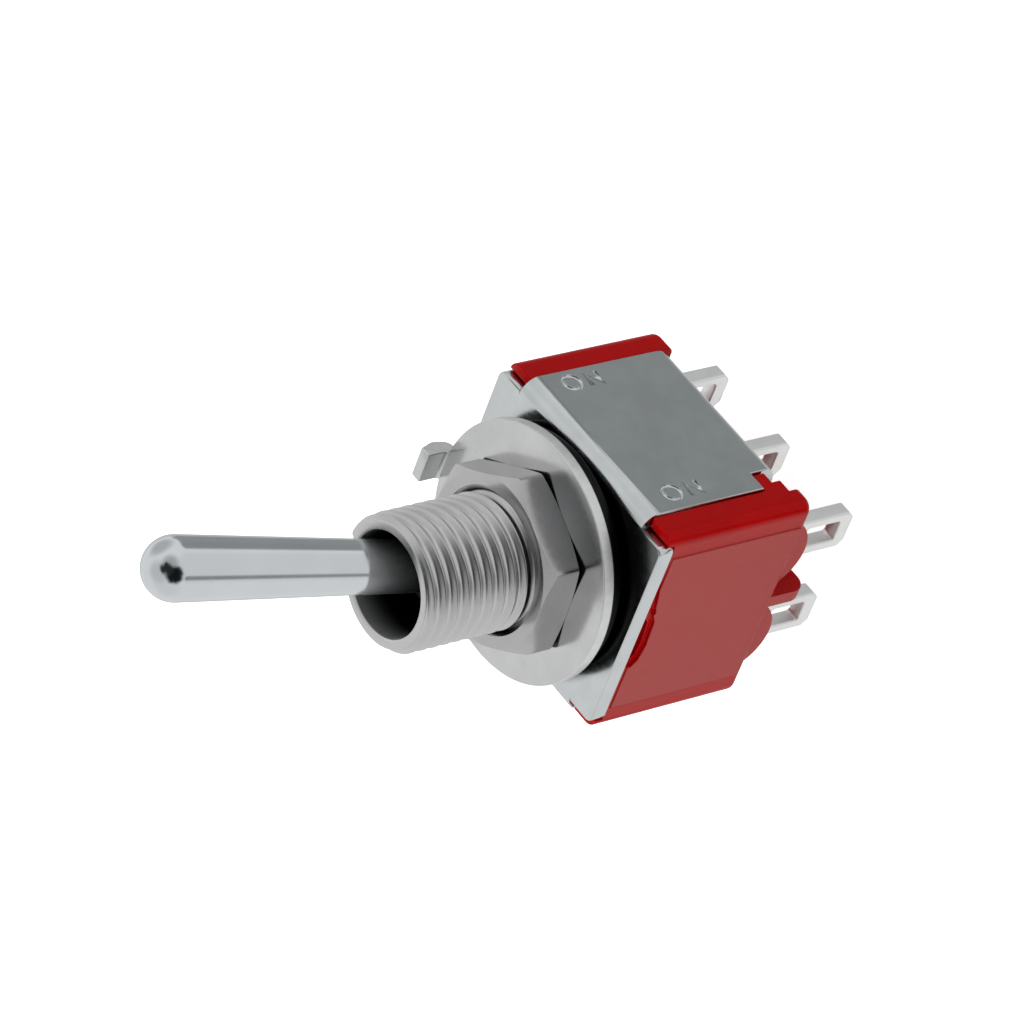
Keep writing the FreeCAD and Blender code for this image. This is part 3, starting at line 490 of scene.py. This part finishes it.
def dressNode(label, width, segments=2, skip=None, level=None):
    # a copy of a CAD node with its sharp edges rounded; level lifts a tiny step at a fold
    mesh = frame["nodes"][label].data.copy()
    if level:
        for vertex in mesh.vertices:
            x, y, z = [place / mm for place in vertex.co]
            if abs(x) < level["x"] and abs(abs(y) - level["y"]) < dress["near"] and -level["drop"] < z < 0:
                vertex.co.z = 0.0
    cleaned = bmesh.new()
    cleaned.from_mesh(mesh)
    bmesh.ops.remove_doubles(cleaned, verts=cleaned.verts, dist=dress["merge"] * mm)
    bmesh.ops.dissolve_limit(cleaned, angle_limit=math.radians(dress["flat"]), verts=cleaned.verts,
                             edges=cleaned.edges)
    cleaned.to_mesh(mesh)
    cleaned.free()
    if skip:
        weighEdges(mesh, dress["sharp"], skip)
    piece = newPiece(f"{label}_finished", mesh, rootBody, [label])
    addBevel(piece, width, segments, weighted=bool(skip))
    applyModifiers(piece)
    steadyNormals(piece, dress["smooth"])
    return piece


# bushing: helical thread, chamfered mouth, keyway and trunnion slots
bushing = {"crest": 3.15, "root": 2.9, "pitch": 0.635, "sharpness": 1.5, "length": 8.93, "bore": 2.45,
           "mouth": 2.5, "lip": 2.86, "mouthSlope": 1.35, "lipTrim": 0.05, "mouthTrim": 0.04,
           "mouthDrop": 0.02, "boreDrop": 0.06, "neck": 0.75, "neckRadius": 2.8, "runOut": 1.2,
           "spigot": 2.75, "spigotGap": 0.001, "flare": 3.05, "flareRise": 0.3, "sheet": 0.8,
           "columns": 144, "samples": 26, "keyHalf": 0.425, "keyFloor": 2.73, "keyOuter": 4.0,
           "keyMiddle": 6.0, "keyLength": 12.0, "slotHalf": 0.5, "slotReach": 2.62, "slotFoot": -2.0,
           "slotStep": 15, "pivot": 4.6, "smooth": 40}


def threadRadius(z, turn):
    phase = (z / bushing["pitch"] - turn) % 1.0
    rise = 1 - abs(2 * phase - 1)                       # 0 at the root, 1 at the crest
    shape = 0.5 - 0.5 * math.cos(math.pi * rise ** bushing["sharpness"])
    r = bushing["root"] + (bushing["crest"] - bushing["root"]) * shape
    mouthCone = bushing["lip"] + (bushing["length"] - z) * bushing["mouthSlope"]
    start = bushing["neckRadius"] + max(0.0, z - bushing["neck"]) * bushing["runOut"]
    return min(r, mouthCone, start)


rows = int(bushing["length"] / bushing["pitch"] * bushing["samples"])
loops = []
for column in range(bushing["columns"]):
    turn = column / bushing["columns"]
    a = 2 * math.pi * turn
    loop = [(bushing["bore"], -bushing["sheet"]), (bushing["flare"], -bushing["sheet"]),
            (bushing["spigot"], -bushing["sheet"] + bushing["flareRise"]),
            (bushing["spigot"], -bushing["spigotGap"])]
    for row in range(rows + 1):
        z = bushing["length"] * row / rows
        loop.append((threadRadius(z, turn), z))
    loop += [(bushing["lip"] - bushing["lipTrim"], bushing["length"]),
             (bushing["mouth"] + bushing["mouthTrim"], bushing["length"]),
             (bushing["mouth"], bushing["length"] - bushing["mouthDrop"]),
             (bushing["bore"], bushing["length"] - bushing["boreDrop"])]
    loops.append([(r * math.cos(a), r * math.sin(a), z) for r, z in loop])
bushingMesh = meshFrom("bushing_threaded", *skinLoops(loops))
threaded = newPiece("bushing_threaded", bushingMesh, rootBody, ["bushing"], bushing["smooth"])
keyOutline = [(-bushing["keyOuter"], -bushing["keyHalf"]), (-bushing["keyFloor"], -bushing["keyHalf"]),
              (-bushing["keyFloor"], bushing["keyHalf"]), (-bushing["keyOuter"], bushing["keyHalf"])]
keyCutter = boxOutline(keyOutline, bushing["keyLength"], lambda u, v, w: (u, v, bushing["keyMiddle"] + w))
slotOutline = [(-bushing["slotHalf"], bushing["slotFoot"]), (bushing["slotHalf"], bushing["slotFoot"])]
for degrees in range(0, 181, bushing["slotStep"]):
    a = math.radians(degrees)
    slotOutline.append((bushing["slotHalf"] * math.cos(a),
                        bushing["pivot"] + bushing["slotHalf"] * math.sin(a)))
slotCutter = boxOutline(slotOutline, 2 * bushing["slotReach"], lambda u, v, w: (u, w, v))
cutBy(threaded, joinMeshes("keyCutter", [keyCutter]))
cutBy(threaded, joinMeshes("slotCutter", [slotCutter]))
steadyNormals(threaded, bushing["smooth"])
print("bushing made")

# hex nut: hexagon crossed with a double cone
nut = {"across": 7.94, "low": 1.58, "high": 3.33, "turn": 32, "chamferStart": 3.98, "chamferAngle": 30,
       "lowerShare": 0.6, "edge": 0.012, "bore": 2.97, "boreChamfer": 0.3, "sink": 3.4, "columns": 240,
       "cornerRound": 0.04, "cornerLand": 0.02, "smooth": 20}
loops = []
for column in range(nut["columns"]):
    a = 2 * math.pi * column / nut["columns"]
    fromFlat = a % (math.pi / 3) - math.pi / 6
    r = min(nut["across"] / 2 / math.cos(fromFlat), nut["across"] / math.sqrt(3) - nut["cornerRound"])
    start = min(nut["chamferStart"], r - nut["cornerLand"])
    drop = max(nut["edge"], (r - start) * math.tan(math.radians(nut["chamferAngle"])))
    loop = [(nut["bore"], nut["low"] + nut["boreChamfer"]), (nut["bore"] + nut["boreChamfer"], nut["low"]),
            (start, nut["low"]), (r, nut["low"] + drop * nut["lowerShare"]), (r, nut["high"] - drop),
            (start, nut["high"]), (nut["sink"], nut["high"]),
            (nut["bore"], nut["high"] - (nut["sink"] - nut["bore"]))]
    t = a + math.radians(nut["turn"])
    loops.append([(q * math.cos(t), q * math.sin(t), z) for q, z in loop])
nutMesh = meshFrom("hex_nut_finished", *skinLoops(loops))
hexNut = newPiece("hex_nut_finished", nutMesh, rootBody, ["hex_nut"], nut["smooth"])
steadyNormals(hexNut, nut["smooth"])
print("nut made")

# locating ring with its key and bent lug
ring = {"outer": 6.0, "bore": 3.22, "low": 1.0, "high": 1.58, "edge": 0.07, "smallEdge": 0.05,
        "columns": 200, "keyHalf": 0.375, "keyTip": 2.78, "keyRoot": 3.52, "inset": 0.02, "lugHalf": 0.8,
        "lugRoot": 5.6, "lugFace": 6.04, "lugBack": 6.84, "lugTip": 6.6, "lugFoot": 6.6, "lugTop": 2.63,
        "lugShoulder": 1.9, "innerBend": 0.22, "tipEdge": 0.05, "backRound": 0.7, "bend": 0.5,
        "lugEdge": 0.06, "lugSegments": 3, "lugSteps": 6, "lugSmooth": 50}
ringRadii = [ring["smallEdge"], ring["smallEdge"], ring["edge"], ring["smallEdge"]]
profile = roundOff([(ring["bore"], ring["low"]), (ring["outer"], ring["low"]), (ring["outer"], ring["high"]),
                    (ring["bore"], ring["high"])], ringRadii)
ringBody = skinLoops(latheLoops(profile, ring["columns"]))
keyOutline = [(-ring["keyRoot"], -ring["keyHalf"]), (-ring["keyTip"], -ring["keyHalf"]),
              (-ring["keyTip"], ring["keyHalf"]), (-ring["keyRoot"], ring["keyHalf"])]
keyPart = boxOutline(keyOutline, ring["high"] - ring["low"] - ring["inset"],
                     lambda u, v, w: (u, v, (ring["low"] + ring["high"]) / 2 + w))
ringMesh = joinMeshes("locating_ring_finished", [ringBody, keyPart])
locatingRing = newPiece("locating_ring_finished", ringMesh, rootBody, ["locating_ring"])
steadyNormals(locatingRing)
lugLow, lugHigh = ring["low"] + ring["inset"], ring["high"] - ring["inset"]
lugOutline = roundOff([(-ring["lugRoot"], lugLow), (-ring["lugRoot"], lugHigh), (-ring["lugFace"], lugHigh),
                       (-ring["lugFace"], ring["lugTop"]), (-ring["lugTip"], ring["lugTop"]),
                       (-ring["lugBack"], ring["lugShoulder"]), (-ring["lugFoot"], lugLow)],
                      [0, 0, ring["innerBend"], 0, ring["tipEdge"], ring["backRound"], ring["bend"]],
                      ring["lugSteps"])
lugShape = boxOutline(lugOutline, 2 * ring["lugHalf"], lambda u, v, w: (u, w, v))
lugMesh = joinMeshes("locating_lug", [lugShape])
lugPiece = newPiece("locating_lug", lugMesh, rootBody, ["locating_ring"])
addBevel(lugPiece, ring["lugEdge"], ring["lugSegments"], ring["lugSmooth"])
applyModifiers(lugPiece)
steadyNormals(lugPiece, ring["lugSmooth"])

# lock washer: band with twisted teeth
washer = {"outer": 5.6, "inner": 4.25, "low": 0.29, "high": 0.71, "edge": 0.05, "columns": 160, "teeth": 10,
          "toothHalf": 0.55, "toothRoot": 4.45, "toothTip": 3.22, "toothTaper": 0.12,
          "toothCuts": (0.0, 0.3, 0.65, 1.0), "twist": 26, "lean": 0.6, "flatten": 0.97, "rise": 0.5,
          "thickness": 0.4}
washerCorners = [(washer["inner"], washer["low"]), (washer["outer"], washer["low"]),
                 (washer["outer"], washer["high"]), (washer["inner"], washer["high"])]
profile = roundOff(washerCorners, [washer["edge"]] * 4)
shapes = [skinLoops(latheLoops(profile, washer["columns"]))]
toothSection = [(-1, -1), (1, -1), (1, 1), (-1, 1)]
for tooth in range(washer["teeth"]):
    a = 2 * math.pi * tooth / washer["teeth"]
    vertices = []
    for share in washer["toothCuts"]:
        r = washer["toothRoot"] + (washer["toothTip"] - washer["toothRoot"]) * share
        twist = math.radians(washer["twist"]) * share
        half = washer["toothHalf"] * (1 - washer["toothTaper"] * share)
        for across, up in toothSection:
            u, v = across * half, up * washer["thickness"] / 2
            y = u * math.cos(twist) - v * math.sin(twist) * washer["lean"]
            z = washer["rise"] + (u * math.sin(twist) + v * math.cos(twist)) * washer["flatten"]
            vertices.append((r * math.cos(a) - y * math.sin(a), r * math.sin(a) + y * math.cos(a), z))
    faces = [(3, 2, 1, 0), (12, 13, 14, 15)]
    for first in range(0, 12, 4):
        for k in range(4):
            n = (k + 1) % 4
            faces.append((first + k, first + n, first + 4 + n, first + 4 + k))
    shapes.append((vertices, faces))
washerMesh = joinMeshes("lock_washer_finished", shapes)
lockWasher = newPiece("lock_washer_finished", washerMesh, rootBody, ["lock_washer"])
steadyNormals(lockWasher)
print("ring and washer made")

# lever: ball, tapered bat and stem, turned in one piece
lever = {"pivot": 4.6, "lean": 15.5, "ball": 2.4, "ballSteps": 32, "neck": 1.13, "shoulder": 0.02,
         "shoulderRise": 0.05, "tip": 1.475, "tipReach": 13.65, "tipSteps": 26, "tipEnd": 89.99, "stem": 0.8,
         "stemEdge": 0.15, "stemReach": 8.3, "ballFoot": 1.35, "skirtFoot": 2.4, "axisGap": 0.0001,
         "columns": 128, "smooth": 50}
leanTurn = Matrix.Rotation(math.radians(-lever["lean"]), 4, "Y")
leanPlace = Matrix.Translation((0, 0, lever["pivot"] * mm)) @ leanTurn


def arcPoints(radius, middle, start, end, steps):
    out = []
    for step in range(steps + 1):
        a = math.radians(start + (end - start) * step / steps)
        out.append((radius * math.cos(a), middle + radius * math.sin(a)))
    return out


neckAngle = math.degrees(math.acos(lever["neck"] / lever["ball"]))
footAngle = math.degrees(math.asin(lever["ballFoot"] / lever["ball"]))
profile = [(lever["axisGap"], -lever["stemReach"]), (lever["stem"] - lever["stemEdge"], -lever["stemReach"]),
           (lever["stem"], -lever["stemReach"] + lever["stemEdge"]), (lever["stem"], -lever["skirtFoot"])]
profile += arcPoints(lever["ball"], 0, -footAngle, neckAngle, lever["ballSteps"])
ballTop = profile[-1][1]
profile += [(lever["neck"] + lever["shoulder"], ballTop + lever["shoulderRise"])]
taper = math.degrees(math.atan((lever["tip"] - lever["neck"]) / (lever["tipReach"] - ballTop)))
profile += arcPoints(lever["tip"], lever["tipReach"], -taper, lever["tipEnd"], lever["tipSteps"])
leverMesh = meshFrom("lever_finished", *skinLoops(latheLoops(profile, lever["columns"])), leanPlace)
leverPiece = newPiece("lever_finished", leverMesh, "lever_set", ["lever"], lever["smooth"])
steadyNormals(leverPiece, lever["smooth"])
print("lever made")

# plunger springs: round wire coiled at each plunger's row, carried with the lever
spring = {"coil": 0.46, "wire": 0.09, "low": -7.61, "high": -6.79, "seat": -6.7, "length": 1.0, "travel": 0.3,
          "turns": 3, "perTurn": 36, "around": 12, "row": 2.46, "smooth": 50}


def coilTube(y):
    vertices = []
    steps = spring["turns"] * spring["perTurn"]
    count = spring["around"]
    for step in range(steps + 1):
        a = 2 * math.pi * step / spring["perTurn"]
        z = spring["low"] + (spring["high"] - spring["low"]) * step / steps
        for k in range(count):
            t = 2 * math.pi * k / count
            r = spring["coil"] + spring["wire"] * math.cos(t)
            vertices.append((r * math.cos(a), y + r * math.sin(a), z + spring["wire"] * math.sin(t)))
    faces = [tuple(range(count)), tuple(range(steps * count + count - 1, steps * count - 1, -1))]
    for first in range(0, steps * count, count):
        for k in range(count):
            n = (k + 1) % count
            faces.append((first + n, first + k, first + count + k, first + count + n))
    return vertices, faces


for label, joint, side in (("plunger_spring_1", "plunger_a_slide", 1),
                           ("plunger_spring_2", "plunger_b_slide", -1)):
    y = side * spring["row"]
    coilMesh = meshFrom(f"{label}_finished", *coilTube(y), leanPlace)
    coil = newPiece(f"{label}_finished", coilMesh, "lever_set", [label], spring["smooth"])
    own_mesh(coil)
print("springs made")

# folded frame, moulded case and terminals, with their edges rounded
edges = {"frame": 0.06, "case": 0.05, "terminal": 0.09, "terminalSegments": 3,
         "reliefs": ((4.6, 4.9), (4.9, 6.2), (0.0, 1.6)), "fold": {"x": 4.7, "y": 5.15, "drop": 0.02}}
plate = dressNode("frame", edges["frame"], skip=edges["reliefs"], level=edges["fold"])
dressNode("case", edges["case"])
for number in range(1, 7):
    dressNode(f"terminal_{number}", edges["terminal"], edges["terminalSegments"])

# the word ON, stamped at both ends of the flange: it runs along -Z, and its letters are tall along X
marks = {"face": 5.865, "tall": 0.86, "ovalWide": 0.9, "letterWide": 0.66, "wire": 0.12, "gap": 1.2,
         "ovalPoints": 40, "places": [(-3.88, -2.12), (3.68, -2.25)]}


def strokeCutter(points, closed):
    curve = bpy.data.curves.new("stroke", "CURVE")
    curve.dimensions = "3D"
    curve.bevel_depth = marks["wire"] * mm
    curve.bevel_resolution = 3
    curve.use_fill_caps = True
    spline = curve.splines.new("POLY")
    spline.points.add(len(points) - 1)
    for place, (x, z) in zip(spline.points, points):
        place.co = (x * mm, marks["face"] * mm, z * mm, 1)
    spline.use_cyclic_u = closed
    holder = bpy.data.objects.new("stroke", curve)
    scene.collection.objects.link(holder)
    bpy.context.view_layer.update()
    mesh = bpy.data.meshes.new_from_object(holder.evaluated_get(bpy.context.evaluated_depsgraph_get()))
    bpy.data.objects.remove(holder)
    return mesh


halfTall = marks["tall"] / 2
for x, z in marks["places"]:
    oval = []
    for point in range(marks["ovalPoints"]):
        t = 2 * math.pi * point / marks["ovalPoints"]
        oval.append((x + halfTall * math.cos(t), z + marks["ovalWide"] / 2 * math.sin(t)))
    cutBy(plate, strokeCutter(oval, True))
    first = z - marks["gap"] + marks["letterWide"] / 2
    last = z - marks["gap"] - marks["letterWide"] / 2
    letter = [(x + halfTall, first), (x - halfTall, first), (x + halfTall, last), (x - halfTall, last)]
    cutBy(plate, strokeCutter(letter, False))
steadyNormals(plate, dress["smooth"])
print("frame, case and terminals made")

# studio: a pale floor and surroundings that light the part from all sides
studio = {"floorZ": -12.9, "floorHalf": 600.0, "floorTone": (0.85, 0.85, 0.85, 1), "fill": 0.80}
floorMesh = bpy.data.meshes.new("floor")
reach = studio["floorHalf"] * mm
floorMesh.from_pydata([(-reach, -reach, 0), (reach, -reach, 0), (reach, reach, 0), (-reach, reach, 0)], [],
                      [(0, 1, 2, 3)])
floor = bpy.data.objects.new("floor", floorMesh)
floor.location.z = studio["floorZ"] * mm
scene.collection.objects.link(floor)
floor.visible_glossy = False
material, tree, shader = newMaterial("paleFloor")
shader.inputs["Base Color"].default_value = studio["floorTone"]
shader.inputs["Roughness"].default_value = 0.9
shader.inputs["Specular IOR Level"].default_value = 0.0
shader.inputs["Emission Color"].default_value = (1, 1, 1, 1)
seen = addNode(tree, "ShaderNodeLightPath").outputs["Is Camera Ray"]
feed(tree, shader, Emission_Strength=maths(tree, "MULTIPLY", seen, studio["fill"]))
floorMesh.materials.append(material)

# studio surroundings by direction: bright panels, with softer and darker areas laid over them in turn.
# Each area has its middle (turn, rise), the cosines where it starts and is full, its level, and
# how much its edge is torn.
panels = {"bright": 0.88, "tint": (0.93, 0.99, 1.0), "areas": [
    {"at": (40, -22), "cos": (0.60, 0.80), "level": 0.80, "torn": 0.0},
    {"at": (-140, -42), "cos": (0.70, 0.92), "level": 0.60, "torn": 0.0},
    {"at": (118, -38), "cos": (0.955, 0.99), "level": 0.34, "torn": 0.0},
    {"at": (135, -46), "cos": (0.92, 0.975), "level": 0.34, "torn": 0.0},
    {"at": (160, -44), "cos": (0.92, 0.975), "level": 0.36, "torn": 0.0},
    {"at": (155, 11), "cos": (0.80, 0.98), "level": 0.56, "torn": 0.0},
    {"at": (75, 40), "cos": (0.80, 0.99), "level": 0.50, "torn": 0.0},
    {"at": (-49, 37), "cos": (0.70, 0.98), "level": 0.80, "torn": 0.0},
    {"at": (0, 90), "cos": (0.70, 0.98), "level": 0.66, "torn": 0.0},
    {"at": (22, 34), "cos": (0.80, 0.94), "level": 0.01, "torn": 0.15},
    {"at": (58, 58), "cos": (0.885, 0.972), "level": 0.03, "torn": 0.15},
    {"at": (8, -8), "cos": (0.985, 0.999), "level": 0.30, "torn": 0.0},
    {"at": (16, -44), "cos": (0.965, 0.99), "level": 0.03, "torn": 0.0},
]}


def direction(turnAngle, rise):
    t, r = math.radians(turnAngle), math.radians(rise)
    return (math.cos(r) * math.cos(t), math.cos(r) * math.sin(t), math.sin(r))


world = bpy.data.worlds.new("studio")
scene.world = world
world.use_nodes = True
tree = world.node_tree
tree.nodes.clear()
ray = addNode(tree, "ShaderNodeTexCoord").outputs["Generated"]


def toward(target):
    node = addNode(tree, "ShaderNodeVectorMath", operation="DOT_PRODUCT")
    return feed(tree, node, i0=ray, i1=target).outputs["Value"]


def shadeTo(level, mask, target):
    # level * (1 - mask) + target * mask
    return maths(tree, "ADD", maths(tree, "MULTIPLY", level, maths(tree, "SUBTRACT", 1.0, mask)),
                 maths(tree, "MULTIPLY", mask, target))


blots = feed(tree, addNode(tree, "ShaderNodeTexNoise"), Vector=ray, Scale=5.0, Detail=3.0)
level = panels["bright"]
for area in panels["areas"]:
    near = toward(direction(*area["at"]))
    if area["torn"]:
        tear = maths(tree, "MULTIPLY", maths(tree, "SUBTRACT", blots.outputs[0], 0.5), area["torn"])
        near = maths(tree, "ADD", near, tear)
    level = shadeTo(level, ramp(tree, near, *area["cos"]), area["level"])
tint = blendColour(tree, level, panels["tint"], (1.0, 1.0, 1.0))
panelShader = feed(tree, addNode(tree, "ShaderNodeBackground"), Color=tint, Strength=level)
whiteShader = feed(tree, addNode(tree, "ShaderNodeBackground"), Color=(1, 1, 1, 1), Strength=1.0)
mixed = addNode(tree, "ShaderNodeMixShader")
tree.links.new(addNode(tree, "ShaderNodeLightPath").outputs["Is Camera Ray"], mixed.inputs[0])
tree.links.new(panelShader.outputs[0], mixed.inputs[1])
tree.links.new(whiteShader.outputs[0], mixed.inputs[2])
tree.links.new(mixed.outputs[0], addNode(tree, "ShaderNodeOutputWorld").inputs[0])

lamps = {"over": {"from": (-0.10, -0.15, 0.40), "watts": 0.55, "size": 0.35},
         "side": {"from": (0.35, 0.10, 0.20), "watts": 0.35, "size": 0.30}}
for label, lamp in lamps.items():
    light = bpy.data.lights.new(label, "AREA")
    light.energy = lamp["watts"]
    light.size = lamp["size"]
    holder = bpy.data.objects.new(label, light)
    holder.location = lamp["from"]
    holder.rotation_euler = (-Vector(lamp["from"])).to_track_quat("-Z", "Y").to_euler()
    holder.visible_glossy = False
    scene.collection.objects.link(holder)

view = {"place": (124.791, 147.340, 146.136), "turn": (-16.9558, 51.1536, 27.8215), "lens": 192.57,
        "sensor": 36}
cameraData = bpy.data.cameras.new("camera")
cameraData.lens = view["lens"]
cameraData.sensor_width = view["sensor"]
cameraData.clip_start = 0.01
cameraHolder = bpy.data.objects.new("camera", cameraData)
cameraHolder.location = Vector(view["place"]) * mm
cameraHolder.rotation_euler = Euler([math.radians(angle) for angle in view["turn"]], "XYZ")
scene.collection.objects.link(cameraHolder)
scene.camera = cameraHolder
print("studio made")
